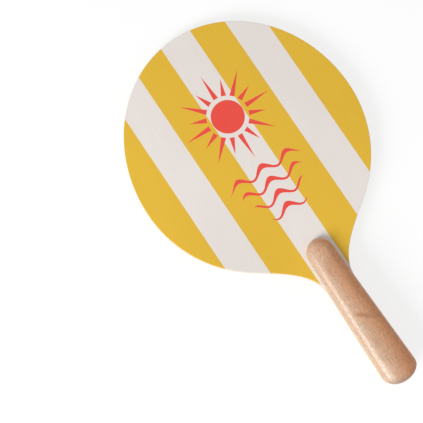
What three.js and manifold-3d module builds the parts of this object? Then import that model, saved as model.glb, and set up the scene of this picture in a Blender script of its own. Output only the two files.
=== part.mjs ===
// A frescobol racket: a plywood blade with two wooden scales glued to its tang.
// Millimetres. X runs across the racket, Y towards the tip of the head and Z out of the front face.
// The origin is the centre of the whole racket.
import * as THREE from "three";
import { ParametricGeometry } from "three/addons/geometries/ParametricGeometry.js";
import { mergeVertices } from "three/addons/utils/BufferGeometryUtils.js";
import Module from "manifold-3d";

// The blade
const racketLength = 407.6;
const headWidth = 240;
const tipRise = 133.75; // from the widest place of the head up to its tip
const heelDrop = 124.7; // the same ellipse below the widest place, had it no neck
const neckLeavesHead = 141; // degrees round from the tip
const neckPullAtHead = 30.4; // how far the neck's curve follows the head
const neckPullAtGrip = 29.8; // how far it follows the side of the grip
const plyThickness = 1.25;
const rimEase = 0.4; // radius of the sanded edge round both faces

// The grip, which is the tang and its two scales
const gripLength = 109.6; // from the end of the neck to the butt
const gripWidthAtNeck = 30.8;
const gripWidthAtButt = 36.5;
const buttRound = 13; // depth of the rounded butt
const scaleLength = 162.6;
const scaleRise = 10.5; // how far a scale's crest stands off the blade
const scaleFullness = 2.1; // its section is a half oval: 2 would be an ellipse, and more is squarer

// How finely curves are cut
const quarterSteps = 30;
const neckSteps = 18;
const easeSteps = 2;
const sectionSteps = 24;

const plies = [
  "front_face_veneer",
  "front_crossband",
  "front_inner_ply",
  "core_ply",
  "back_inner_ply",
  "back_crossband",
  "back_face_veneer",
];

const bladeThickness = plies.length * plyThickness;
const frontFace = bladeThickness / 2;
const tipY = racketLength / 2;
const buttY = -racketLength / 2;
const headY = tipY - tipRise;
const neckEndY = buttY + gripLength;
const buttStartY = buttY + buttRound;
const scaleTopY = buttY + scaleLength;

// The grip's sides spread evenly towards the butt.
const gripSpread = (gripWidthAtButt - gripWidthAtNeck) / 2 / (neckEndY - buttStartY);

function gripHalfWidth(y) {
  return gripWidthAtNeck / 2 + gripSpread * (neckEndY - y);
}

function buttCurve() {
  return new THREE.EllipseCurve(0, buttStartY, gripHalfWidth(buttStartY), buttRound, 0, -Math.PI / 2, true);
}

// The cubic curve that leaves the head along its ellipse and joins the side of the grip.
function neckCurve(headEllipse) {
  const start = headEllipse.getPoint(1);
  const alongHead = headEllipse.getTangent(1).multiplyScalar(neckPullAtHead);
  const end = new THREE.Vector2(gripHalfWidth(neckEndY), neckEndY);
  const alongGrip = new THREE.Vector2(-gripSpread, 1).normalize().multiplyScalar(neckPullAtGrip);
  return new THREE.CubicBezierCurve(start, start.clone().add(alongHead), end.clone().add(alongGrip), end);
}

// Both halves of an outline from the points of its right half, given from the top down.
function mirrored(rightHalf) {
  const leftHalf = rightHalf
    .slice(1, -1)
    .reverse()
    .map((p) => new THREE.Vector2(-p.x, p.y));
  return new THREE.Shape([...rightHalf, ...leftHalf]);
}

function bladeOutline() {
  const heelAngle = THREE.MathUtils.degToRad(90 - neckLeavesHead);
  const tip = new THREE.EllipseCurve(0, headY, headWidth / 2, tipRise, Math.PI / 2, 0, true);
  const heel = new THREE.EllipseCurve(0, headY, headWidth / 2, heelDrop, 0, heelAngle, true);
  const heelSteps = Math.ceil((quarterSteps * -heelAngle) / (Math.PI / 2));
  return mirrored([
    ...tip.getPoints(quarterSteps),
    ...heel.getPoints(heelSteps).slice(1),
    ...neckCurve(heel).getPoints(neckSteps).slice(1),
    ...buttCurve().getPoints(quarterSteps / 2),
  ]);
}

// The round top end of a scale touches both of its sides.
const sideAngle = Math.atan(gripSpread);
const scaleEndRadius = gripHalfWidth(scaleTopY) / (1 / Math.cos(sideAngle) - gripSpread);

// The right half of a scale's plan: the round top end, the side of the grip and the butt of the tang.
function scaleHalfOutline() {
  const endY = scaleTopY - scaleEndRadius;
  const end = new THREE.EllipseCurve(0, endY, scaleEndRadius, scaleEndRadius, Math.PI / 2, sideAngle, true);
  return [...end.getPoints(quarterSteps / 2), ...buttCurve().getPoints(quarterSteps / 2)];
}

function squarePlate(outline, low, high) {
  return new THREE.ExtrudeGeometry(outline, { depth: high - low, bevelEnabled: false }).translate(0, 0, low);
}

// A plate from z = low to z = high whose edges are rounded inside its outline.
function easedPlate(outline, low, high) {
  return new THREE.ExtrudeGeometry(outline, {
    depth: high - low - 2 * rimEase,
    bevelThickness: rimEase,
    bevelSize: rimEase,
    bevelOffset: -rimEase,
    bevelSegments: easeSteps,
  }).translate(0, 0, low + rimEase);
}

const wasm = await Module();
wasm.setup();

function solidOf(geometry) {
  const bare = geometry.clone();
  bare.deleteAttribute("normal");
  bare.deleteAttribute("uv");
  const merged = mergeVertices(bare, 1e-4);
  const vertProperties = merged.attributes.position.array;
  const triVerts = new Uint32Array(merged.index.array);
  return new wasm.Manifold(new wasm.Mesh({ numProp: 3, vertProperties, triVerts }));
}

function geometryOf(solid) {
  const { vertProperties, triVerts } = solid.getMesh();
  const geometry = new THREE.BufferGeometry();
  geometry.setAttribute("position", new THREE.BufferAttribute(vertProperties, 3));
  geometry.setIndex(new THREE.BufferAttribute(triVerts, 1));
  return geometry;
}

// The whole panel. Its edges are eased, but stay square where the scales are sanded flush with them.
function bladeSolid() {
  const eased = easedPlate(bladeOutline(), -frontFace, frontFace);
  const underScales = squarePlate(mirrored(scaleHalfOutline()), -frontFace, frontFace);
  return solidOf(eased).add(solidOf(underScales));
}

// The panel taken apart at its glue lines, from the front ply to the back one.
function plySolids() {
  let rest = bladeSolid();
  const cut = [];
  for (let i = 1; i < plies.length; i += 1) {
    const [ply, below] = rest.splitByPlane([0, 0, 1], frontFace - i * plyThickness);
    cut.push(ply);
    rest = below;
  }
  return [...cut, rest];
}

// How high a quarter oval has risen at a share of its run, from 0 at its rim to 1 at its crest.
function ovalRise(share) {
  return (1 - (1 - Math.min(share, 1)) ** scaleFullness) ** (1 / scaleFullness);
}

function crestHeight(y) {
  const topEnd = (scaleTopY - y) / scaleEndRadius;
  const butt = (y - buttY) / buttRound;
  return scaleRise * ovalRise(Math.max(Math.min(topEnd, butt), 0));
}

// A scale lies on the blade's front face and shrinks to a point at both ends.
// Each step of its section climbs over the crest, and the last one closes the flat underside.
function scaleSurface() {
  const plan = scaleHalfOutline();
  const rows = plan.length - 1;
  const columns = sectionSteps + 1;
  const place = (u, v, point) => {
    const { x: halfWidth, y } = plan[Math.round(v * rows)];
    const angle = (Math.PI * (Math.round(u * columns) % columns)) / sectionSteps;
    const across = Math.abs(Math.cos(angle)) ** (2 / scaleFullness) * Math.sign(Math.cos(angle));
    const up = Math.abs(Math.sin(angle)) ** (2 / scaleFullness);
    point.set(halfWidth * across, y, frontFace + crestHeight(y) * up);
  };
  return new ParametricGeometry(place, columns, rows);
}

const wood = (color, roughness) => new THREE.MeshStandardMaterial({ color, roughness, metalness: 0 });
const stripedPaint = wood(0xe2b842, 0.45);
const alongGrainPly = wood(0xe6cda2, 0.7);
const acrossGrainPly = wood(0xc79f6c, 0.75);
const handleBeech = wood(0xd2a482, 0.4);

function plyMaterial(i) {
  const isFace = i === 0 || i === plies.length - 1;
  if (isFace) return stripedPaint;
  return i % 2 ? acrossGrainPly : alongGrainPly;
}

const racket = new THREE.Group();
racket.name = "frescobol_racket";

function addPiece(name, geometry, material) {
  const piece = new THREE.Mesh(geometry, material);
  piece.name = name;
  racket.add(piece);
  return piece;
}

plySolids().forEach((ply, i) => addPiece(plies[i], geometryOf(ply), plyMaterial(i)));

const scaleGeometry = geometryOf(solidOf(scaleSurface()));
addPiece("front_handle_scale", scaleGeometry, handleBeech);
const backScale = addPiece("back_handle_scale", scaleGeometry, handleBeech);
backScale.rotation.y = Math.PI; // the same scale, turned over onto the back face

export default racket;
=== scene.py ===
# %% [markdown]
# A wooden beach racket
#
# The racket is a plywood blade, striped with paint, whose narrow tang runs down between two wooden
# scales that are glued on as a handle. Nothing on it moves. The solids of its nine pieces come from
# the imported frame, which fixes every size and place. Here each piece is modelled again with a
# smoother surface in exactly the same place, and then gets its finish.

# %% Load the frame
import bmesh
import bpy
from itertools import pairwise
from math import asin, atan, cos, degrees, pi, radians, sin, tan
from mathutils import Matrix, Vector


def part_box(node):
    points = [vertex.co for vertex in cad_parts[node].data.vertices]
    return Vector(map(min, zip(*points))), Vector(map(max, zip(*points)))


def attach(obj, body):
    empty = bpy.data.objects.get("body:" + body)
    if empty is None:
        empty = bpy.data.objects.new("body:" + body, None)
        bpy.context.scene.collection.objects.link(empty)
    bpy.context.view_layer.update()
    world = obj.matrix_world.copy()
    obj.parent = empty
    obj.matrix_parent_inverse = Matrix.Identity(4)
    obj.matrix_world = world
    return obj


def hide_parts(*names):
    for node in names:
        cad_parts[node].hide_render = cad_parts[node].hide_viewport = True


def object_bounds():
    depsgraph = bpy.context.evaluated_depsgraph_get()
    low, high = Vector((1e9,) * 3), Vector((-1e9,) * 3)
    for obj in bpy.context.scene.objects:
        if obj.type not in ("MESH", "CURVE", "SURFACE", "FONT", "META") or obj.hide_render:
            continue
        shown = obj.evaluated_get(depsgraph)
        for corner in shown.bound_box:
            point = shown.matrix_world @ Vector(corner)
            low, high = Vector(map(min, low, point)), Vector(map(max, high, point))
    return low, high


MM = 0.001

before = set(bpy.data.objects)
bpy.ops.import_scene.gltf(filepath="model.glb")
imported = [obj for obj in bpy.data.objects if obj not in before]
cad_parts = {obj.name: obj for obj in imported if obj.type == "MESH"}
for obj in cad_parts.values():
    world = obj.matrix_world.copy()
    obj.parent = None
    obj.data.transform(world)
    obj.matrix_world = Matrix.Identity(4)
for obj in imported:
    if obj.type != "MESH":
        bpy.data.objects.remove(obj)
solid_low, solid_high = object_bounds()
print("nodes in the frame:", sorted(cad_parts))
print("the solid racket measures", [round(side / MM, 2) for side in solid_high - solid_low], "mm")

# %% [markdown]
# The measures that the pieces share
#
# What the frame can tell is read from it: the tip, the butt, the faces of the plies and the crest of
# a scale. The rest are the driving sizes of the outline. X runs across the racket, Y towards the tip
# of the head, and Z out of the front face. Blender works in metres, so sizes are in millimetres times MM.

# %% Measures
TINY = 0.001 * MM

# Read from the frame
veneer_low, veneer_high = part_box("front_face_veneer")
scale_low, scale_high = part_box("front_handle_scale")
face_z = veneer_high.z
ply = veneer_high.z - veneer_low.z
head_half = solid_high.x
tip_y = solid_high.y
butt_y = solid_low.y
scale_top_y = scale_high.y
scale_rise = scale_high.z - face_z
grip_half_at_butt = scale_high.x

# Driving sizes of the outline and of its rim
tip_rise = 133.75 * MM
heel_drop = 124.7 * MM
neck_leaves_head = radians(51)
neck_pull_at_head = 30.4 * MM
neck_pull_at_grip = 29.8 * MM
grip_length = 109.6 * MM
grip_half_at_neck = 15.4 * MM
butt_round = 13 * MM
rim_ease = 0.4 * MM

# What follows from them
head_y = tip_y - tip_rise
neck_end_y = butt_y + grip_length
butt_start_y = butt_y + butt_round
grip_spread = (grip_half_at_butt - grip_half_at_neck) / (neck_end_y - butt_start_y)


def grip_half(y):
    """Half the width of the grip, whose sides spread evenly towards the butt."""
    return grip_half_at_neck + grip_spread * (neck_end_y - y)


print("the head is widest at y =", round(head_y / MM, 2), "mm")
print("each side of the grip leans out", round(degrees(atan(grip_spread)), 2), "degrees")

# %% [markdown]
# The camera
#
# The racket lies face up and is seen from almost straight above, about a metre away, turned so that its
# tip points up and to the left. A long lens keeps the head from looking wider than it is. The camera is
# made first. Its three axes are worked out from where it stands, what it looks at and which way is up in
# the picture.

# %% Camera
camera_place = Vector((-143.3, -41.2, 981.5)) * MM
camera_target = Vector((-66.3, 38.1, 4.4)) * MM
picture_turn = radians(33.81)

forward = (camera_target - camera_place).normalized()
right = forward.cross(Vector((sin(picture_turn), cos(picture_turn), 0))).normalized()
up = right.cross(forward)
camera_turn = Matrix((right, up, -forward)).transposed().to_euler()

bpy.ops.object.select_all(action="DESELECT")
bpy.ops.object.camera_add(location=camera_place, rotation=camera_turn)
camera = bpy.context.object
camera.name = "camera"
camera.data.lens = 85
camera.data.sensor_width = 36
camera.data.clip_start = 0.05
camera.data.clip_end = 30
bpy.context.scene.camera = camera
print("camera looks down at", round(degrees(asin(-forward.z)), 1), "degrees")

# %% [markdown]
# The lamp
#
# The picture has one broad soft lamp, low on the racket's left side and a little towards its butt. A large
# square area lamp a few metres away is such a softbox: near enough for the left rim to be a little brighter
# than the right one. Its width is given as the angle it fills, seen from the racket, and its strength as
# the light that arrives there, so that both keep their meaning when it is moved.

# %% Lamp
KEY_DISTANCE = 2.4
KEY_ELEVATION = radians(29.5)
KEY_BEARING = radians(17)
KEY_WIDTH = radians(26)
KEY_STRENGTH = 3.39

toward_key = Vector((
    -cos(KEY_ELEVATION) * cos(KEY_BEARING),
    -cos(KEY_ELEVATION) * sin(KEY_BEARING),
    sin(KEY_ELEVATION),
))
key_turn = toward_key.to_track_quat("Z", "Y").to_euler()
bpy.ops.object.light_add(type="AREA", location=toward_key * KEY_DISTANCE, rotation=key_turn)
key_lamp = bpy.context.object
key_lamp.name = "key_lamp"
key_lamp.data.shape = "SQUARE"
key_lamp.data.size = 2 * KEY_DISTANCE * tan(KEY_WIDTH / 2)
key_lamp.data.energy = KEY_STRENGTH * pi * KEY_DISTANCE**2
key_lamp.visible_camera = False
print("the lamp stands", round(degrees(KEY_ELEVATION), 1), "degrees high")
print("the lamp is", round(key_lamp.data.size, 2), "m wide")

# %% [markdown]
# The room
#
# A white room fills the shadows. It is the world: it lights the racket at half strength, but shows as plain
# white to the camera and in reflections, which the Light Path node tells apart.

# %% Room
ROOM_STRENGTH = 0.5


def link(tree, source, socket):
    tree.links.new(source, socket)


def seen_ray(tree):
    """1 for a ray from the camera, in a gloss or through glass, and 0 for one that only brings light."""
    path = tree.nodes.new("ShaderNodeLightPath")
    seen = path.outputs["Is Camera Ray"]
    for ray in ("Is Glossy Ray", "Is Transmission Ray"):
        either = tree.nodes.new("ShaderNodeMath")
        either.operation = "MAXIMUM"
        link(tree, seen, either.inputs[0])
        link(tree, path.outputs[ray], either.inputs[1])
        seen = either.outputs[0]
    return seen


def white_room():
    """A world that lights at ROOM_STRENGTH and is seen as white."""
    world = bpy.data.worlds.new("white_room")
    world.use_nodes = True
    tree = world.node_tree
    background = tree.nodes["Background"]
    background.inputs["Color"].default_value = (1, 1, 1, 1)
    strength = tree.nodes.new("ShaderNodeMapRange")
    strength.inputs["To Min"].default_value = ROOM_STRENGTH
    strength.inputs["To Max"].default_value = 1
    link(tree, seen_ray(tree), strength.inputs["Value"])
    link(tree, strength.outputs["Result"], background.inputs["Strength"])
    return world


bpy.context.scene.world = white_room()
bpy.context.scene.view_settings.view_transform = "Standard"
print("the room lights the racket at", ROOM_STRENGTH, "of white")

# %% [markdown]
# The table
#
# A racket with scales on both sides can't lie flat. It rests on the lower rim of its tip and on the
# inner end of the back scale's crest, so the table is a plane through those two places, which leans
# a little over two degrees against the blade.

# %% Table
TABLE_SIZE = 8

# How far in from the top of a scale its crest touches the table
CREST_END = 13 * MM

crest_end_y = scale_top_y - CREST_END
rest_at_tip = Vector((0, tip_y - rim_ease, -face_z))
rest_at_scale = Vector((0, crest_end_y, -scale_high.z))
table_slope = atan((rest_at_tip.z - rest_at_scale.z) / (rest_at_tip.y - rest_at_scale.y))
table_middle = (rest_at_tip + rest_at_scale) / 2

bpy.ops.object.select_all(action="DESELECT")
bpy.ops.mesh.primitive_plane_add(size=TABLE_SIZE, location=table_middle, rotation=(table_slope, 0, 0))
table = bpy.context.object
table.name = "table"
print("the table leans", round(degrees(table_slope), 2), "degrees against the blade")

# %% [markdown]
# The table's paint
#
# The table is painted white and keeps the racket's shadow. Where it is seen, rather than lights the racket,
# the paint is mixed with the room's plain white. That pales the shadow as a bright backdrop does, and
# further out the table fades into the room without an edge.

# %% Table paint
TABLE_WHITE = 0.93
TABLE_GLOW = 0.07
TABLE_ROUGHNESS = 0.9
TABLE_SPECULAR = 0.1

# The share of plain white near the racket, and how far from it, in metres, the table turns all white
BACKDROP_SHARE = 0.75
FADE_FROM = 0.35
FADE_TO = 1.2


def white_table():
    """White paint that takes shadows, mixed with plain white where it is seen."""
    material = bpy.data.materials.new("white_table")
    material.use_nodes = True
    tree = material.node_tree
    paint = tree.nodes["Principled BSDF"]
    paint.inputs["Base Color"].default_value = (TABLE_WHITE, TABLE_WHITE, TABLE_WHITE, 1)
    paint.inputs["Roughness"].default_value = TABLE_ROUGHNESS
    paint.inputs["Specular IOR Level"].default_value = TABLE_SPECULAR
    paint.inputs["Emission Color"].default_value = (1, 1, 1, 1)
    seen = seen_ray(tree)

    glow = tree.nodes.new("ShaderNodeMath")
    glow.operation = "MULTIPLY"
    glow.inputs[1].default_value = TABLE_GLOW
    link(tree, seen, glow.inputs[0])
    link(tree, glow.outputs[0], paint.inputs["Emission Strength"])

    backdrop = tree.nodes.new("ShaderNodeEmission")
    coordinates = tree.nodes.new("ShaderNodeTexCoord")
    far = tree.nodes.new("ShaderNodeVectorMath")
    far.operation = "LENGTH"
    link(tree, coordinates.outputs["Object"], far.inputs[0])
    fade = tree.nodes.new("ShaderNodeMapRange")
    for name, value in (("From Min", FADE_FROM), ("From Max", FADE_TO), ("To Min", BACKDROP_SHARE)):
        fade.inputs[name].default_value = value
    link(tree, far.outputs["Value"], fade.inputs["Value"])
    share = tree.nodes.new("ShaderNodeMath")
    share.operation = "MULTIPLY"
    link(tree, seen, share.inputs[0])
    link(tree, fade.outputs["Result"], share.inputs[1])
    mix = tree.nodes.new("ShaderNodeMixShader")
    link(tree, share.outputs[0], mix.inputs["Fac"])
    link(tree, paint.outputs["BSDF"], mix.inputs[1])
    link(tree, backdrop.outputs["Emission"], mix.inputs[2])
    link(tree, mix.outputs["Shader"], tree.nodes["Material Output"].inputs["Surface"])
    return material


table.data.materials.append(white_table())
print("the table turns all white", FADE_TO, "m from the racket")

# %% [markdown]
# Working in edit mode from a script
#
# By hand one clicks on a piece, presses Tab, picks some faces and uses an operator. The same steps need a
# few small helpers here: one opens a piece for editing with nothing else selected, one closes it, one
# picks vertices, edges or faces by a rule about their place, one extrudes what is picked, and one copies
# a finished piece.

# %% Editing helpers
def choose(piece):
    """Leaves one piece selected and active, in object mode."""
    bpy.ops.object.select_all(action="DESELECT")
    piece.select_set(True)
    bpy.context.view_layer.objects.active = piece


def open_piece(piece):
    choose(piece)
    bpy.ops.object.mode_set(mode="EDIT")


def close_piece():
    bpy.ops.object.mode_set(mode="OBJECT")


def pick(kind, rule):
    """Selects, on the open piece, only the vertices, edges or faces that a rule holds for."""
    bpy.ops.mesh.select_mode(type=kind)
    bpy.ops.mesh.select_all(action="DESELECT")
    mesh = bmesh.from_edit_mesh(bpy.context.edit_object.data)
    elements = {"VERT": mesh.verts, "EDGE": mesh.edges, "FACE": mesh.faces}[kind]
    for element in elements:
        if rule(element):
            element.select_set(True)
    mesh.select_flush_mode()
    bmesh.update_edit_mesh(bpy.context.edit_object.data)


def extrude_by(step):
    bpy.ops.mesh.extrude_region_move(TRANSFORM_OT_translate={"value": step})


def copy_piece(piece, name):
    """A copy with a mesh of its own."""
    choose(piece)
    bpy.ops.object.duplicate(linked=False)
    twin = bpy.context.object
    twin.name = twin.data.name = name
    return twin


def face_count(piece):
    return f"{piece.name}: {len(piece.data.polygons)} faces"


# %% [markdown]
# The curves of the neck and the butt
#
# On each side the heel of the head is a quarter of an ellipse. A little over half-way round the neck leaves
# it, and runs into the straight side of the grip. A cubic curve does that: it has two ends and two places
# that pull it, one along the head and one along the grip. The butt is half an ellipse again.

# %% Curves of the outline
NECK_STEPS = 24
BUTT_STEPS = 24


def on_heel(angle):
    """The point of the heel's ellipse at an angle below the widest place of the head."""
    return Vector((head_half * cos(angle), head_y - heel_drop * sin(angle), 0))


def neck_points():
    """The cubic curve that leaves the head along its ellipse and joins the side of the grip."""
    a = neck_leaves_head
    start = on_heel(a)
    along_head = Vector((-head_half * sin(a), -heel_drop * cos(a), 0)).normalized()
    end = Vector((grip_half_at_neck, neck_end_y, 0))
    along_grip = Vector((-grip_spread, 1, 0)).normalized()
    pulled = [start, start + along_head * neck_pull_at_head, end + along_grip * neck_pull_at_grip, end]
    shares = [i / NECK_STEPS for i in range(NECK_STEPS + 1)]
    weights = [((1 - t) ** 3, 3 * t * (1 - t) ** 2, 3 * t**2 * (1 - t), t**3) for t in shares]
    return [sum((w * p for w, p in zip(four, pulled)), Vector()) for four in weights]


def butt_points():
    angles = [pi / 2 * i / BUTT_STEPS for i in range(BUTT_STEPS + 1)]
    return [Vector((grip_half_at_butt * cos(a), butt_start_y - butt_round * sin(a), 0)) for a in angles]


print("the neck's curve starts", round(on_heel(neck_leaves_head).x / MM, 1), "mm off the middle")

# %% [markdown]
# The outline of the blade
#
# Head, neck and tang are sawn from one panel, so all seven plies share one outline, and it is drawn only
# once. The head is a circle pulled into two half ellipses, blunt towards the tip and blunter towards the
# heel. From there the right half goes on point by point, as a pencil would: along the curve of the neck,
# down the straight side of the grip and round the butt. A Mirror modifier gives the left half.

# %% Outline
HEAD_STEPS = 240


def draw_outline():
    bpy.ops.object.select_all(action="DESELECT")
    bpy.ops.mesh.primitive_circle_add(vertices=HEAD_STEPS, radius=head_half, location=(0, head_y, 0))
    outline = bpy.context.object
    outline.name = outline.data.name = "outline"
    bpy.ops.object.transform_apply(location=True)

    open_piece(outline)
    for rule, pulled in (
        (lambda v: v.co.y > head_y + TINY, tip_rise),
        (lambda v: v.co.y < head_y - TINY, heel_drop),
    ):
        pick("VERT", rule)
        bpy.ops.transform.resize(value=(1, pulled / head_half, 1), center_override=(0, head_y, 0))
    heel_end = on_heel(neck_leaves_head)
    pick("VERT", lambda v: v.co.x < -TINY or v.co.y < heel_end.y - TINY)
    bpy.ops.mesh.delete(type="VERT")

    pick("VERT", lambda v: (v.co - heel_end).length < 2 * TINY)
    for here, there in pairwise(neck_points() + butt_points()):
        extrude_by(there - here)
    close_piece()

    bpy.ops.object.modifier_add(type="MIRROR")
    outline.modifiers["Mirror"].merge_threshold = 2 * TINY
    bpy.ops.object.modifier_apply(modifier="Mirror")
    open_piece(outline)
    bpy.ops.mesh.select_all(action="SELECT")
    bpy.ops.mesh.edge_face_add()
    close_piece()
    return outline


outline = draw_outline()
print("outline:", len(outline.data.vertices), "points,", len(outline.data.polygons), "face")

# %% [markdown]
# The five inner plies
#
# Plywood is thin sheets glued with their grain crosswise. All that shows of the inner ones is their sawn
# and sanded edge, with a fine groove at each glue line where the sandpaper wears the softer edge away.
# One ply is extruded from the outline and its two rims are eased by a few hundredths of a millimetre. The
# other four are copies of it, moved to their own depth.

# %% Inner plies
GLUE_GROOVE = 0.06 * MM


def flat_ply(name, low_z):
    """A plate of one ply's thickness over the outline, standing on low_z."""
    plate = copy_piece(outline, name)
    open_piece(plate)
    bpy.ops.mesh.select_all(action="SELECT")
    bpy.ops.transform.translate(value=(0, 0, low_z))
    extrude_by((0, 0, ply))
    bpy.ops.mesh.select_all(action="SELECT")
    bpy.ops.mesh.normals_make_consistent(inside=False)
    close_piece()
    return plate


def is_level(edge):
    return abs(edge.verts[0].co.z - edge.verts[1].co.z) < TINY


core = flat_ply("core", -ply / 2)
open_piece(core)
pick("EDGE", is_level)
bpy.ops.mesh.bevel(offset=GLUE_GROOVE, segments=1, affect="EDGES")
close_piece()

inner_plies = {"core": core}
for name, depth in (
    ("crossband_front", 2),
    ("inner_ply_front", 1),
    ("inner_ply_back", -1),
    ("crossband_back", -2),
):
    inner_plies[name] = copy_piece(core, name)
    bpy.ops.transform.translate(value=(0, 0, depth * ply))
    bpy.ops.object.transform_apply(location=True)
print(face_count(core), "and four copies")

# %% [markdown]
# The two face veneers
#
# The outer plies carry the paint. Their outer rim is rounded over with sandpaper all round the head and
# neck, but stays square in the grip, where it was sanded flush together with the scales. So only those
# rim edges are bevelled that lie clear of the scales. A narrow inset inside the rim keeps the broad face
# perfectly flat in the shading. The back veneer is the front one turned over.

# %% Face veneers
EASE_STEPS = 6
FACE_MARGIN = 0.5 * MM


def on_free_rim(vertex):
    """Whether a corner of the outer face lies clear of the grip."""
    return vertex.co.z > face_z - TINY and abs(vertex.co.x) > grip_half(vertex.co.y) + rim_ease


def is_broad_face(face):
    return face.normal.z > 0.99 and face.calc_area() > head_half**2


veneer_front = flat_ply("veneer_front", veneer_low.z)
open_piece(veneer_front)
pick("EDGE", lambda e: is_level(e) and all(on_free_rim(v) for v in e.verts))
bpy.ops.mesh.bevel(offset=rim_ease, segments=EASE_STEPS, affect="EDGES")
pick("FACE", is_broad_face)
bpy.ops.mesh.inset(thickness=FACE_MARGIN, depth=0)
close_piece()

veneer_back = copy_piece(veneer_front, "veneer_back")
bpy.ops.transform.rotate(value=pi, orient_axis="Y", center_override=(0, 0, 0))
bpy.ops.object.transform_apply(rotation=True)
print(face_count(veneer_front), "and the same at the back")

# %% [markdown]
# The run of a handle scale
#
# A scale grows along the grip from station to station. Each station says how far along the grip it lies,
# and how wide and how high the scale is there. The sides are straight and evenly high. At both ends the
# stations follow the rounded plan and the height falls as an oval does, so the wood runs out to nothing on
# the blade.

# %% Stations of a scale
SCALE_FULLNESS = 2.1
END_STEPS = 22
SIDE_STEPS = 9

side_angle = atan(grip_spread)
scale_end_radius = grip_half(scale_top_y) / (1 / cos(side_angle) - grip_spread)
scale_end_y = scale_top_y - scale_end_radius


def oval_rise(share):
    """How high the oval has risen at a share of its run in from the rim: 1 at the crest."""
    return (1 - (1 - min(share, 1)) ** SCALE_FULLNESS) ** (1 / SCALE_FULLNESS)


def top_stations():
    """(y, half width, height) from the end of the straight sides to just short of the top."""
    angles = [side_angle + (pi / 2 - side_angle) * i / END_STEPS for i in range(END_STEPS + 1)]
    places = [(scale_end_y + scale_end_radius * sin(a), scale_end_radius * cos(a)) for a in angles]
    return [(y, half, scale_rise * oval_rise((scale_top_y - y) / scale_end_radius)) for y, half in places]


def butt_stations():
    places = [(point.y, point.x) for point in butt_points()]
    return [(y, half, scale_rise * oval_rise((y - butt_y) / butt_round)) for y, half in places]


def side_stations():
    start, end = butt_start_y, scale_end_y + scale_end_radius * sin(side_angle)
    ys = [start + (end - start) * i / SIDE_STEPS for i in range(SIDE_STEPS + 1)]
    return [(y, grip_half(y), scale_rise) for y in ys]


print("the top end of a scale is rounded to", round(scale_end_radius / MM, 2), "mm")

# %% [markdown]
# The two handle scales
#
# A scale is a strip of hardwood with a soft oval back, a little squarer than half an ellipse. That section
# is a rectangle whose two upper corners are rounded until they meet, and then pressed down to its real
# height. It is extruded from station to station and narrowed or lowered at each. That gives an even mesh,
# where one big bevel would fold over itself in the tight corners of the butt.

# %% Handle scales
SECTION_STEPS = 20
OVAL_PROFILE = 2 ** (-2 / SCALE_FULLNESS)


def loft_on(stations):
    """Extrudes the selected section from station to station, resized about the glue face."""
    for (y0, half0, height0), (y1, half1, height1) in pairwise(stations):
        extrude_by((0, y1 - y0, 0))
        ratio = (max(half1, TINY) / half0, 1, max(height1, TINY) / height0)
        bpy.ops.transform.resize(value=ratio, center_override=(0, y1, face_z))


def make_scale():
    bpy.ops.object.select_all(action="DESELECT")
    middle = (0, butt_start_y, face_z + grip_half_at_butt / 2)
    bpy.ops.mesh.primitive_plane_add(size=2 * grip_half_at_butt, location=middle, rotation=(pi / 2, 0, 0))
    scale = bpy.context.object
    scale.name = scale.data.name = "scale_front"
    bpy.ops.object.transform_apply(location=True, rotation=True)

    open_piece(scale)
    bpy.ops.transform.resize(value=(1, 1, 0.5), center_override=middle)
    pick("VERT", lambda v: v.co.z > face_z + grip_half_at_butt / 2)
    bpy.ops.mesh.bevel(
        offset=grip_half_at_butt,
        segments=SECTION_STEPS,
        affect="VERTICES",
        profile=OVAL_PROFILE,
    )
    bpy.ops.mesh.select_all(action="SELECT")
    bpy.ops.mesh.remove_doubles(threshold=TINY)
    pressed = (1, 1, scale_rise / grip_half_at_butt)
    bpy.ops.transform.resize(value=pressed, center_override=(0, 0, face_z))

    bpy.ops.mesh.select_all(action="SELECT")
    loft_on(side_stations() + top_stations()[1:])
    bpy.ops.mesh.merge(type="COLLAPSE")
    pick("FACE", lambda f: all(abs(v.co.y - butt_start_y) < TINY for v in f.verts))
    loft_on(butt_stations())
    bpy.ops.mesh.merge(type="COLLAPSE")
    bpy.ops.mesh.select_all(action="SELECT")
    bpy.ops.mesh.normals_make_consistent(inside=False)
    close_piece()
    return scale


scale_front = make_scale()
scale_back = copy_piece(scale_front, "scale_back")
bpy.ops.transform.rotate(value=pi, orient_axis="Y", center_override=(0, 0, 0))
bpy.ops.object.transform_apply(rotation=True)
print(face_count(scale_front), "and the same at the back")

# %% [markdown]
# Building a finish from nodes
#
# A finish is a chain of small sums on the place of a point in the racket, in millimetres: where the
# stripes change, how far the grain has turned, how deep a pore lies. The Finish helper lays down one node
# for each sum and links it, so that the recipes below read like formulas.
#
# Wood is noise drawn out along the grain. Each kind has two stretches, along the grain and across it: the
# smaller the first is, the longer the streaks. Noise stays mostly between 0.3 and 0.7, so a ramp over that
# range turns it into whatever is wanted: a shade between 0.9 and 1.1 times the colour, a roughness, or a
# shift of a millimetre or two.

# %% Node helpers
# The Mix node has sockets for every kind of value; these are the ones for numbers and for colours
NUMBER_A, NUMBER_B, NUMBER_RESULT = 2, 3, 0
COLOUR_A, COLOUR_B, COLOUR_RESULT = 6, 7, 2

ALONG = (0, 1, 0)
ACROSS = (1, 0, 0)


def linear(red, green, blue):
    """The linear colour of a paint chip whose screen colour is given in 0 to 255."""
    parts = [channel / 255 for channel in (red, green, blue)]
    return [c / 12.92 if c <= 0.04045 else ((c + 0.055) / 1.055) ** 2.4 for c in parts] + [1]


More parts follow.
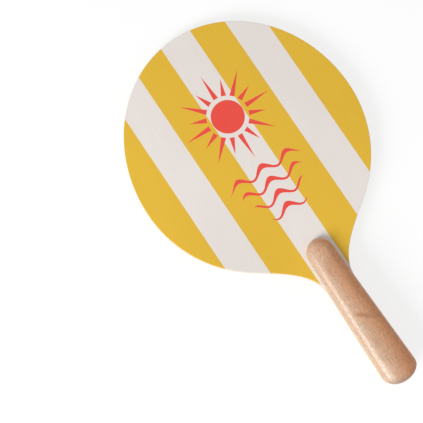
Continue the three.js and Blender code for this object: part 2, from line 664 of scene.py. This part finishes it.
class Finish:
    """A material whose nodes are added by short calls."""

    def __init__(self, name):
        self.material = bpy.data.materials.new(name)
        self.material.use_nodes = True
        self.tree = self.material.node_tree
        self.surface = self.tree.nodes["Principled BSDF"]
        self.coordinates = self.tree.nodes.new("ShaderNodeTexCoord")

    def feed(self, socket, value):
        if isinstance(value, bpy.types.NodeSocket):
            self.tree.links.new(value, socket)
        else:
            socket.default_value = value

    def add(self, kind, inputs=(), **settings):
        node = self.tree.nodes.new(kind)
        for name, value in settings.items():
            setattr(node, name, value)
        for name, value in dict(inputs).items():
            self.feed(node.inputs[name], value)
        return node

    def sum(self, operation, *values, clamp=False):
        node = self.add("ShaderNodeMath", operation=operation, use_clamp=clamp)
        for socket, value in zip(node.inputs, values):
            self.feed(socket, value)
        return node.outputs[0]

    def place(self, stretch=(1, 1, 1)):
        """The point in the racket, in millimetres, each axis times its stretch."""
        node = self.add("ShaderNodeVectorMath", operation="MULTIPLY")
        self.feed(node.inputs[0], self.coordinates.outputs["Object"])
        self.feed(node.inputs[1], [side / MM for side in stretch])
        return node.outputs[0]

    def split(self, vector):
        return self.add("ShaderNodeSeparateXYZ", {"Vector": vector}).outputs[:]

    def noise(self, stretch, detail=2.0, roughness=0.5, grain=ALONG):
        """Noise between 0 and 1, with one stretch along the grain and another across it."""
        along, across = stretch
        place = self.place([along if side else across for side in grain])
        inputs = {"Vector": place, "Scale": 1.0, "Detail": detail, "Roughness": roughness}
        return self.add("ShaderNodeTexNoise", inputs).outputs["Fac"]

    def noise_ramp(self, noise, at_low, at_high):
        """Turns the range in which most noise lies into at_low to at_high."""
        return self.ramp(noise, 0.3, 0.7, at_low, at_high)

    def ramp(self, value, low, high, at_low=0.0, at_high=1.0):
        """Turns low to high into at_low to at_high, and holds the ends."""
        inputs = {"Value": value, "From Min": low, "From Max": high, "To Min": at_low, "To Max": at_high}
        return self.add("ShaderNodeMapRange", inputs).outputs["Result"]

    def smooth_ramp(self, value, low, high, at_low, at_high):
        """As ramp, but it starts and ends gently."""
        share = self.add("ShaderNodeMapRange", {"Value": value, "From Min": low, "From Max": high})
        share.interpolation_type = "SMOOTHSTEP"
        return self.ramp(share.outputs["Result"], 0.0, 1.0, at_low, at_high)

    def mix(self, share, first, second):
        node = self.add("ShaderNodeMix", data_type="RGBA")
        self.feed(node.inputs["Factor"], share)
        self.feed(node.inputs[COLOUR_A], first)
        self.feed(node.inputs[COLOUR_B], second)
        return node.outputs[COLOUR_RESULT]

    def between(self, share, first, second):
        """The number that lies a share of the way from first to second."""
        node = self.add("ShaderNodeMix", data_type="FLOAT")
        self.feed(node.inputs["Factor"], share)
        self.feed(node.inputs[NUMBER_A], first)
        self.feed(node.inputs[NUMBER_B], second)
        return node.outputs[NUMBER_RESULT]

    def shade(self, colour, factor):
        """A colour made lighter or darker by a factor."""
        node = self.add("ShaderNodeVectorMath", operation="SCALE")
        self.feed(node.inputs[0], colour)
        self.feed(node.inputs["Scale"], factor)
        return node.outputs[0]

    def bump(self, height, distance):
        inputs = {"Height": height, "Distance": distance, "Strength": 1.0}
        self.feed(self.surface.inputs["Normal"], self.add("ShaderNodeBump", inputs).outputs["Normal"])

    def set(self, name, value):
        """Feeds a number, a colour or a chain of sums to a socket of the surface."""
        self.feed(self.surface.inputs[name], value)


def node_count(material):
    return f"{material.name}: {len(material.node_tree.nodes)} nodes"


print("half way to white on the screen is", round(linear(128, 128, 128)[0], 3), "of its light")

# %% [markdown]
# The sawn edge of the plywood
#
# Where a ply's grain runs along the edge, the sanded edge is pale and finely streaked. Where it ends at
# the edge, the cut pores soak up lacquer and look darker. One recipe gives both: noise drawn out along
# the ply's own grain, and a darker tone wherever the surface faces along that grain. Thin brown lines
# mark the glue. They lie where one ply meets the next, so folding the height back and forth over half a
# ply gives the way to the nearest one.

# %% Plywood edge
EDGE_PALE = linear(220, 194, 152)
EDGE_DARK = linear(178, 138, 90)
GLUE_BROWN = linear(120, 84, 52)

# Kinds of noise, by their stretch along the grain and across it
EDGE_STREAK = (0.05, 2.5)
EDGE_PORE = (0.12, 6.0)

END_GRAIN_SHARE = 0.75
EDGE_RELIEF = 0.04 * MM

# A glue line is full within the first of these distances and gone at the second
GLUE_CORE = 0.05
GLUE_EDGE = 0.11
GLUE_SHARE = 0.75


def end_grain(finish, grain):
    """1 where the surface faces along the grain, and 0 where the grain runs along the surface."""
    facing = finish.add("ShaderNodeVectorMath", operation="DOT_PRODUCT")
    finish.feed(facing.inputs[0], finish.coordinates.outputs["Normal"])
    finish.feed(facing.inputs[1], grain)
    return finish.sum("POWER", finish.sum("ABSOLUTE", facing.outputs["Value"]), 2)


def glue_line(finish):
    z = finish.split(finish.place())[2]
    ply_mm = ply / MM
    depth = finish.sum("ADD", finish.sum("DIVIDE", z, ply_mm), 0.5)
    off_glue = finish.sum("MULTIPLY", finish.sum("PINGPONG", depth, 0.5), ply_mm)
    return finish.ramp(off_glue, GLUE_CORE, GLUE_EDGE, GLUE_SHARE, 0.0)


def bare_ply(finish, grain):
    """The colour, roughness and height of a ply's sanded edge."""
    streak = finish.noise(EDGE_STREAK, detail=4.0, roughness=0.6, grain=grain)
    pore = finish.noise(EDGE_PORE, grain=grain)
    dark = finish.sum("MULTIPLY", end_grain(finish, grain), END_GRAIN_SHARE)
    colour = finish.mix(dark, EDGE_PALE, EDGE_DARK)
    colour = finish.shade(colour, finish.ramp(streak, 0.25, 0.75, 0.86, 1.08))
    colour = finish.shade(colour, finish.ramp(pore, 0.55, 0.72, 1.0, 0.8))
    colour = finish.mix(glue_line(finish), colour, GLUE_BROWN)
    roughness = finish.noise_ramp(streak, 0.5, 0.65)
    height = finish.sum("SUBTRACT", streak, pore)
    return colour, roughness, height


def plywood_edge(name, grain):
    finish = Finish(name)
    colour, roughness, height = bare_ply(finish, grain)
    finish.set("Base Color", colour)
    finish.set("Roughness", roughness)
    finish.bump(height, EDGE_RELIEF)
    return finish.material


along_edge = plywood_edge("along_grain_edge", ALONG)
across_edge = plywood_edge("across_grain_edge", ACROSS)
print(node_count(along_edge), "and the same across the grain")

# %% [markdown]
# The stripes
#
# Seven bands, each as wide as the last, run the length of the blade: white in the middle, then yellow,
# white and yellow again on each side. Folding the distance from the middle line back and forth over one
# band's width gives them all from one edge. Screen printing leaves that edge crisp, with a waver of a
# tenth of a millimetre.

# %% Stripes
BAND = 34.6
BAND_WAVER = (0.25, 0.4)
PAINT_YELLOW = linear(224, 180, 50)
PAINT_WHITE = linear(230, 222, 216)
PRINT_SOFTNESS = 0.12


def inside(finish, distance):
    """1 where a signed distance in millimetres is below zero, with a printed edge."""
    return finish.ramp(distance, -PRINT_SOFTNESS, PRINT_SOFTNESS, 1.0, 0.0)


def striped_colour(finish, x):
    waver = finish.noise_ramp(finish.noise(BAND_WAVER), -0.08, 0.08)
    folded = finish.sum("PINGPONG", finish.sum("ADD", x, waver), BAND)
    white = inside(finish, finish.sum("SUBTRACT", folded, BAND / 2))
    return finish.mix(white, PAINT_YELLOW, PAINT_WHITE)


print("seven bands take", round(7 * BAND, 1), "mm, and the head has", round(2 * head_half / MM, 1), "mm")

# %% [markdown]
# The printed sun
#
# A red ornament is printed over the stripes: a sun above four swells of the sea. The sun is worked out in
# polar coordinates. Its disc is a radius. Its rays are one wedge that the angle, folded back and forth,
# repeats all round, every second one shorter, each tapering to a point.

# %% Sun
PAINT_RED = linear(231, 74, 63)
SUN_Y = 108
SUN_RADIUS = 17
RAY_COUNT = 16
RAY_START = 21.5
RAY_HALF_WIDTH = 2.6
LONG_RAY = 49
SHORT_RAY = 39


def sun_print(finish, x, y):
    up_from_middle = finish.sum("SUBTRACT", y, SUN_Y)
    square = finish.sum("ADD", finish.sum("POWER", x, 2), finish.sum("POWER", up_from_middle, 2))
    radius = finish.sum("SQRT", square)
    disc = inside(finish, finish.sum("SUBTRACT", radius, SUN_RADIUS))

    turn = finish.sum("MULTIPLY", finish.sum("ARCTAN2", x, up_from_middle), RAY_COUNT / (2 * pi))
    off_ray = finish.sum("PINGPONG", turn, 0.5)
    arc = finish.sum("MULTIPLY", finish.sum("MULTIPLY", off_ray, radius), 2 * pi / RAY_COUNT)
    is_long = finish.sum("LESS_THAN", finish.sum("PINGPONG", turn, 1.0), 0.5)
    reach = finish.sum("ADD", finish.sum("MULTIPLY", is_long, LONG_RAY - SHORT_RAY), SHORT_RAY)
    still_to_go = finish.sum("SUBTRACT", reach, radius)
    whole_way = finish.sum("SUBTRACT", reach, RAY_START)
    width = finish.sum("MULTIPLY", finish.sum("DIVIDE", still_to_go, whole_way), RAY_HALF_WIDTH)
    ray = inside(finish, finish.sum("SUBTRACT", arc, width))
    clear_of_disc = inside(finish, finish.sum("SUBTRACT", RAY_START, radius))
    return finish.sum("MAXIMUM", disc, finish.sum("MULTIPLY", ray, clear_of_disc))


print("the sun reaches from y =", SUN_Y - LONG_RAY, "to", SUN_Y + LONG_RAY, "mm")

# %% [markdown]
# The printed swells
#
# The sea is four cosine waves, one below the other and each shorter than the last. A stroke is everything
# that lies less than half its width off the wave, and that width swells and tapers like a brush's: broad
# on the crests, thin in the troughs, and nothing at both ends.

# %% Swells
# Each swell's height on the blade and half its length
SWELLS = ((44, 43), (29, 36), (14, 29), (-1, 21))
SWELL_LENGTH = 28.7
SWELL_HEIGHT = 4.0
STROKE_THIN = 1.2
STROKE_SWELL = 1.6


def swell_print(finish, x, y, middle, half_length):
    wave = finish.sum("COSINE", finish.sum("MULTIPLY", x, 2 * pi / SWELL_LENGTH))
    line = finish.sum("ADD", finish.sum("MULTIPLY", wave, SWELL_HEIGHT), middle)
    off_line = finish.sum("ABSOLUTE", finish.sum("SUBTRACT", y, line))
    swell = finish.sum("MULTIPLY", finish.sum("ADD", wave, 1), STROKE_SWELL / 2)
    towards_end = finish.sum("DIVIDE", x, half_length)
    taper = finish.sum("SUBTRACT", 1, finish.sum("POWER", towards_end, 4), clamp=True)
    stroke = finish.sum("MULTIPLY", finish.sum("ADD", swell, STROKE_THIN), taper)
    within = inside(finish, finish.sum("SUBTRACT", finish.sum("ABSOLUTE", x), half_length))
    return finish.sum("MULTIPLY", inside(finish, finish.sum("SUBTRACT", off_line, stroke)), within)


print(len(SWELLS), "swells, the longest", 2 * SWELLS[0][1], "mm wide")

# %% [markdown]
# The painted face
#
# The grain of the veneer shows faintly through the paint, and a soft painted shade darkens the paint on the
# left of the heel. It runs out on the rounded rim, where the surface turns down and the sandpaper has gone
# through to bare wood, so paint and wood are mixed by which way the surface looks. The ornament is on the
# front face only. Its ink lies on top, which gives it a little height of its own.

# %% Painted face
PAINT_GRAIN = (0.035, 1.1)
PAINT_CLOUD = (0.012, 0.02)
RUN_OUT = (0.5, 0.5)

PAINT_SPECULAR = 0.4
PAINT_RELIEF = 0.04 * MM

# How far the surface still faces up where the paint is gone, and where it is whole
PAINT_GONE = 0.36
PAINT_WHOLE = 0.44

# Painted shade on the left of the heel: middle x and y, half length, half width and strength
PAINTED_SHADE_SPOT = (-75, -35, 90, 45, 0.055)


def soft_spot(finish, x, y, middle_x, middle_y, half_length, half_width, strength):
    """The given strength in the middle of a long soft spot, and 0 away from it."""
    along = finish.sum("DIVIDE", finish.sum("SUBTRACT", y, middle_y), half_length)
    across = finish.sum("DIVIDE", finish.sum("SUBTRACT", x, middle_x), half_width)
    reach = finish.sum("ADD", finish.sum("POWER", along, 2), finish.sum("POWER", across, 2))
    return finish.ramp(reach, 0.0, 1.8, strength, 0.0)


def on_front(finish, z, share):
    return finish.sum("MULTIPLY", share, finish.sum("GREATER_THAN", z, 0))


def printed_ornament(finish, x, y, z):
    ornament = sun_print(finish, x, y)
    for swell in SWELLS:
        ornament = finish.sum("MAXIMUM", ornament, swell_print(finish, x, y, *swell))
    return on_front(finish, z, ornament)


def where_painted(finish):
    """1 where the paint is whole, 0 where it is sanded through, with a ragged edge."""
    turned_up = finish.sum("ABSOLUTE", finish.split(finish.coordinates.outputs["Normal"])[2])
    ragged = finish.noise_ramp(finish.noise(RUN_OUT, detail=4.0, roughness=0.7), -0.12, 0.12)
    return finish.ramp(finish.sum("ADD", turned_up, ragged), PAINT_GONE, PAINT_WHOLE)


def painted_veneer():
    finish = Finish("painted_veneer")
    x, y, z = finish.split(finish.place())
    ornament = printed_ornament(finish, x, y, z)
    grain = finish.noise(PAINT_GRAIN, detail=4.0, roughness=0.6)
    cloud = finish.noise(PAINT_CLOUD)
    colour = finish.mix(ornament, striped_colour(finish, x), PAINT_RED)
    colour = finish.shade(colour, finish.noise_ramp(grain, 0.977, 1.023))
    colour = finish.shade(colour, finish.noise_ramp(cloud, 0.985, 1.015))
    # Painted shade: the paint is darkened in a soft spot on the left of the heel
    colour = finish.shade(colour, finish.sum("SUBTRACT", 1, soft_spot(finish, x, y, *PAINTED_SHADE_SPOT)))
    roughness = finish.noise_ramp(cloud, 0.5, 0.6)
    ink = finish.sum("MULTIPLY", ornament, 0.6)
    film = finish.sum("ADD", finish.sum("ADD", finish.sum("MULTIPLY", grain, 0.5), ink), 1)

    wood_colour, wood_roughness, wood_height = bare_ply(finish, ALONG)
    wood_height = finish.sum("MULTIPLY", wood_height, 0.5)
    whole = where_painted(finish)
    finish.set("Base Color", finish.mix(whole, wood_colour, colour))
    finish.set("Roughness", finish.between(whole, wood_roughness, roughness))
    finish.set("Specular IOR Level", PAINT_SPECULAR)
    finish.bump(finish.between(whole, wood_height, film), PAINT_RELIEF)
    return finish.material


painted = painted_veneer()
print(node_count(painted))

# %% [markdown]
# The figure in the handle's wood
#
# Growth rings show as faint lines along the grip. Half-way down they swing across it, as rings do beside
# a knot, and one of them is broad and reddish there: the flame. It is all worked out from one number, how
# far a point lies off the line that the rings follow. A few soft reddish spots are listed besides.

# %% Figure of the handle
RING_WIDTH = 2.6
RING_STRENGTH = 0.28
RING_WANDER = (0.035, 0.08)

# The line that the rings follow: its x, how far it swings across, and from and to which y
SWING_LINE = -8
SWING_REACH = 24
SWING_FROM_Y = -119.5
SWING_TO_Y = -143.5

# The flame: full strength within its core, fading out to its edge, and wider on the right
FLAME_STRENGTH = 0.85
FLAME_CORE = 1.0
FLAME_EDGE = 5.0
FLAME_SPREAD = 1.9

# From and to which x it widens, and from and to which y or x it fades, with the two strengths
FLAME_WIDENS = (-5, 12)
FLAME_TOP = (-118, -125, 0.0, 1.0)
FLAME_BOTTOM = (-136, -141, 1.0, 0.0)
FLAME_LEFT = (-10, -6, 0.2, 1.0)
FLAME_RIGHT = (-3, 10, 1.0, 0.5)

# Reddish spots in the front scale, given as the painted shade in the paint is
RED_SPOTS = (
    (8, -63, 9, 1.3, 0.5),
    (-4.5, -75, 7, 1.8, 0.55),
    (8.5, -101, 14, 2.0, 0.4),
    (-6.5, -156, 11, 1.3, 0.45),
    (6, -187, 13, 6.0, 0.45),
)


def off_ring_line(finish, x, y):
    """How far a point lies off the line that the rings follow, which wanders a little."""
    wander = finish.ramp(finish.noise(RING_WANDER, detail=1.0), 0.2, 0.8, -1.5, 1.5)
    line = finish.smooth_ramp(y, SWING_FROM_Y, SWING_TO_Y, SWING_LINE, SWING_LINE + SWING_REACH)
    return finish.sum("SUBTRACT", finish.sum("ADD", x, wander), line)


def ring_figure(finish, off_line):
    """The late wood of each ring, as narrow lines."""
    turn = finish.sum("MULTIPLY", off_line, 2 * pi / RING_WIDTH)
    late_wood = finish.sum("POWER", finish.ramp(finish.sum("COSINE", turn), -1.0, 1.0), 2)
    return finish.sum("MULTIPLY", late_wood, RING_STRENGTH)


def flame_figure(finish, x, y, off_line):
    """The broad ring where it crosses the grip, paler at both sides and gone above and below."""
    spread = finish.ramp(x, *FLAME_WIDENS, 1.0, FLAME_SPREAD)
    away = finish.sum("DIVIDE", finish.sum("ABSOLUTE", off_line), spread)
    flame = finish.ramp(away, FLAME_CORE, FLAME_EDGE, FLAME_STRENGTH, 0.0)
    for fade in (
        finish.smooth_ramp(y, *FLAME_TOP),
        finish.ramp(y, *FLAME_BOTTOM),
        finish.ramp(x, *FLAME_LEFT),
        finish.ramp(x, *FLAME_RIGHT),
    ):
        flame = finish.sum("MULTIPLY", flame, fade)
    return flame


def red_figure(finish, x, y, ragged_x):
    off_line = off_ring_line(finish, x, y)
    flame = flame_figure(finish, x, y, off_line)
    red = finish.sum("MAXIMUM", ring_figure(finish, off_line), flame)
    for measures in RED_SPOTS:
        red = finish.sum("MAXIMUM", red, soft_spot(finish, ragged_x, y, *measures))
    return red


print("rings", RING_WIDTH, "mm wide swing", SWING_REACH, "mm across;", len(RED_SPOTS), "reddish spots")

# %% [markdown]
# The wood of the handle
#
# The scales are a plain pale hardwood under clear lacquer. Their colour is painted paler and greyer on the
# left, as a sheen towards the lamp, and is warmer on the right. Short flecks, fine fibres and dark pores
# are noise drawn out along the grain. Towards the top end the wood is painted lighter, as painted light,
# and beside the butt is a painted highlight. The rounded butt is painted darker: partly painted shade,
# partly end grain that has drunk more lacquer.
# The back scale comes from a plainer strip, without the red figure. The lacquer is a smooth coat over the
# rougher wood, and makes the long highlight on the side towards the lamp.

# %% Handle wood
WOOD_PALE_SHEEN = linear(189, 162, 138)
WOOD_WARM = linear(216, 149, 102)
WOOD_RED = linear(168, 108, 70)
WOOD_PAINTED_LIGHT = linear(236, 207, 176)
PORE_BROWN = linear(118, 76, 50)

DRIFT = (0.012, 0.05)
HUE = (0.12, 0.35)
FLECK = (0.26, 0.8)
FIBRE = (0.1, 2.4)
PORE = (0.5, 3.6)

WOOD_SPECULAR = 0.35
LACQUER_COAT = 0.24
LACQUER_ROUGHNESS = 0.13
WOOD_RELIEF = 0.03 * MM

# How far off the middle the colour has turned all to the painted sheen or all warm
FLANK = 12
# Painted light on the scale: a pale spot at its top end and a painted highlight beside the butt, given as
# the red spots are
PAINTED_LIGHT_SPOTS = ((1, -55, 8, 9, 0.14), (-11.5, -187, 13, 3.2, 0.24))

# Painted light at the top end and painted shade with end grain at the butt: from and to which y, or how far
# the surface turns to the tip, and the two factors
TOP_PAINTED_LIGHT = (-66, -44, 1.0, 1.04)
TOP_END_PAINTED_LIGHT = (0.2, 0.9, 1.0, 1.25)
BUTT_SHADE_AND_END_GRAIN = (-0.15, -0.85, 1.0, 0.6)


def sheen_to_warm(finish, x):
    """The wood's ground colour, painted paler and greyer on the left as a sheen towards the lamp, warmer on
    the right.
    """
    drift = finish.ramp(finish.noise(DRIFT, detail=1.0), 0.2, 0.8, -4.0, 4.0)
    hue = finish.noise_ramp(finish.noise(HUE), -0.18, 0.18)
    turned = finish.ramp(finish.sum("ADD", x, drift), -FLANK, FLANK)
    return finish.mix(finish.sum("ADD", turned, hue, clamp=True), WOOD_PALE_SHEEN, WOOD_WARM)


def ends_light_and_shade(finish, colour, y):
    """Paints light onto the top end and shade onto the butt, where end grain that drank lacquer is darker
    too.
    """
    towards_tip = finish.split(finish.coordinates.outputs["Normal"])[1]
    colour = finish.shade(colour, finish.ramp(y, *TOP_PAINTED_LIGHT))
    colour = finish.shade(colour, finish.ramp(towards_tip, *TOP_END_PAINTED_LIGHT))
    return finish.shade(colour, finish.ramp(towards_tip, *BUTT_SHADE_AND_END_GRAIN))


def handle_wood():
    finish = Finish("lacquered_wood")
    x, y, z = finish.split(finish.place())
    fleck = finish.noise(FLECK, detail=3.0, roughness=0.6)
    fibre = finish.noise(FIBRE, detail=4.0, roughness=0.65)
    pore = finish.ramp(finish.noise(PORE, detail=1.0), 0.6, 0.7)
    pores = finish.sum("MULTIPLY", pore, finish.ramp(fleck, 0.35, 0.65, 0.7, 0.3))

    ragged_x = finish.sum("ADD", x, finish.noise_ramp(fleck, -1.2, 1.2))
    red = finish.sum("MULTIPLY", red_figure(finish, x, y, ragged_x), finish.noise_ramp(fibre, 0.55, 1.0))
    # The ground colour carries a painted sheen on the side towards the lamp
    colour = finish.mix(on_front(finish, z, red), sheen_to_warm(finish, x), WOOD_RED)
    # Painted light: a pale spot at the top end and a painted highlight beside the butt
    for measures in PAINTED_LIGHT_SPOTS:
        colour = finish.mix(soft_spot(finish, ragged_x, y, *measures), colour, WOOD_PAINTED_LIGHT)
    colour = finish.shade(colour, finish.ramp(fleck, 0.36, 0.64, 0.87, 1.12))
    colour = finish.shade(colour, finish.noise_ramp(fibre, 0.9, 1.1))
    colour = finish.mix(pores, colour, PORE_BROWN)
    height = finish.sum("SUBTRACT", finish.sum("MULTIPLY", fibre, 0.4), pores)

    # Painted light at the top end and painted shade at the butt
    finish.set("Base Color", ends_light_and_shade(finish, colour, y))
    finish.set("Roughness", finish.noise_ramp(fibre, 0.42, 0.55))
    finish.set("Specular IOR Level", WOOD_SPECULAR)
    finish.set("Coat Weight", LACQUER_COAT)
    finish.set("Coat Roughness", LACQUER_ROUGHNESS)
    finish.bump(height, WOOD_RELIEF)
    return finish.material


wood = handle_wood()
print(node_count(wood))

# %% [markdown]
# Giving each piece its finish and its place
#
# Each piece gets its finish all over and soft shading across its curves. Only edges sharper than those of
# a rounding stay crisp. Every piece rides on the racket's one body and stands for the node that it
# replaces.

# %% Finish the pieces
SHARP_EDGE = radians(40)

PLACES = (
    (veneer_front, "front_face_veneer", "striped_face", painted),
    (inner_plies["crossband_front"], "front_crossband", "across_grain_ply", across_edge),
    (inner_plies["inner_ply_front"], "front_inner_ply", "along_grain_ply", along_edge),
    (core, "core_ply", "across_grain_ply", across_edge),
    (inner_plies["inner_ply_back"], "back_inner_ply", "along_grain_ply", along_edge),
    (inner_plies["crossband_back"], "back_crossband", "across_grain_ply", across_edge),
    (veneer_back, "back_face_veneer", "striped_face", painted),
    (scale_front, "front_handle_scale", "handle_wood", wood),
    (scale_back, "back_handle_scale", "handle_wood", wood),
)
for piece, node, slot, material in PLACES:
    choose(piece)
    bpy.ops.object.shade_smooth_by_angle(angle=SHARP_EDGE)
    piece.data.materials.clear()
    piece.data.materials.append(material)
    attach(piece, "root")
    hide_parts(node)
bpy.data.objects.remove(outline)
print("pieces finished:", [piece.name for piece, *_ in PLACES])
